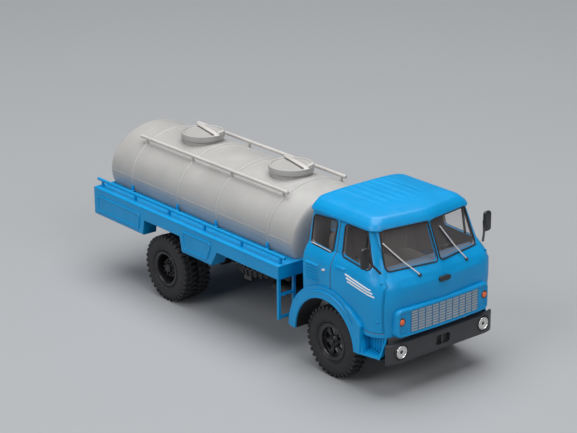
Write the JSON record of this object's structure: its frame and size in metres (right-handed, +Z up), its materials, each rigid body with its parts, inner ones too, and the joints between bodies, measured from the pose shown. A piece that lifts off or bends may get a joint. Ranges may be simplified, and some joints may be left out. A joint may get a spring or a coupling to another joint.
{
  "type": "scale model tanker truck",
  "caption": "Blue cab-over scale model tanker truck with a grey elliptical tank, side platform, access ladder, spare wheel and freely rolling wheels.",
  "frame": {"origin": "on the ground at the middle of the outline box's base", "axes": "+X forward towards the bumper, +Y to the truck's left, +Z up"},
  "size_m": [0.166, 0.0588, 0.061],
  "materials": {
    "body_blue": "satin",
    "tank_grey": "satin",
    "chassis_black": "satin",
    "bumper_grey": "satin",
    "rim_black": "gloss",
    "tyre_rubber": "matt",
    "steel": "satin",
    "chrome": "polished",
    "lens_clear": "clear",
    "glass": "clear",
    "orange_lens": "gloss",
    "red_lens": "gloss",
    "silver": "satin",
    "interior": "matt",
    "seat": "matt",
    "trim_black": "satin"
  },
  "bodies": {
    "truck": {"air_receiver": "chassis_black", "badge_boss": "trim_black", "battery_box": "chassis_black", "cab_interior": "interior", "cab_shell": "body_blue", "cab_steps": "body_blue", "chassis_frame": "chassis_black", "door_handles": "body_blue", "engine_block": "chassis_black", "front_axle_beam": "chassis_black", "front_bumper": "bumper_grey", "front_springs": "chassis_black", "fuel_tank": "chassis_black", "gearbox_driveshaft": "chassis_black", "grille_insert": "silver", "grille_panel": "body_blue", "hatch_clamps": "tank_grey", "hatch_lids": "tank_grey", "hatch_necks": "tank_grey", "headlamp_bezels": "chrome", "headlamp_lenses": "lens_clear", "indicator_lamps": "orange_lens", "ladder": "body_blue", "mirrors": "trim_black", "platform": "body_blue", "platform_rails": "body_blue", "rear_axle_housing": "chassis_black", "rear_glass": "glass", "rear_lamps": "red_lens", "rear_springs": "chassis_black", "seats": "seat", "side_glass": "glass", "spare_carrier": "chassis_black", "spare_rim": "rim_black", "spare_tyre": "tyre_rubber", "steering_wheel": "trim_black", "tank_bands": "tank_grey", "tank_rails": "tank_grey", "tank_shell": "tank_grey", "tie_down_lugs": "body_blue", "tow_hook": "chassis_black", "wheel_arches": "body_blue", "windscreen_glass": "glass", "wipers": "silver"},
    "front_wheelset": {"front_tyres": "tyre_rubber", "front_rims": "rim_black", "front_axle_pin": "steel"},
    "rear_wheelset": {"rear_tyres": "tyre_rubber", "rear_rims": "rim_black", "rear_axle_pin": "steel"}
  },
  "joints": [
    {"name": "front_wheels_roll", "type": "hinge", "parent": "truck", "child": "front_wheelset", "pos_m": [0.05445, 0, 0.01265], "axis": [0, 1, 0], "continuous": true},
    {"name": "rear_wheels_roll", "type": "hinge", "parent": "truck", "child": "rear_wheelset", "pos_m": [-0.03665, 0, 0.01265], "axis": [0, 1, 0], "continuous": true}
  ]
}
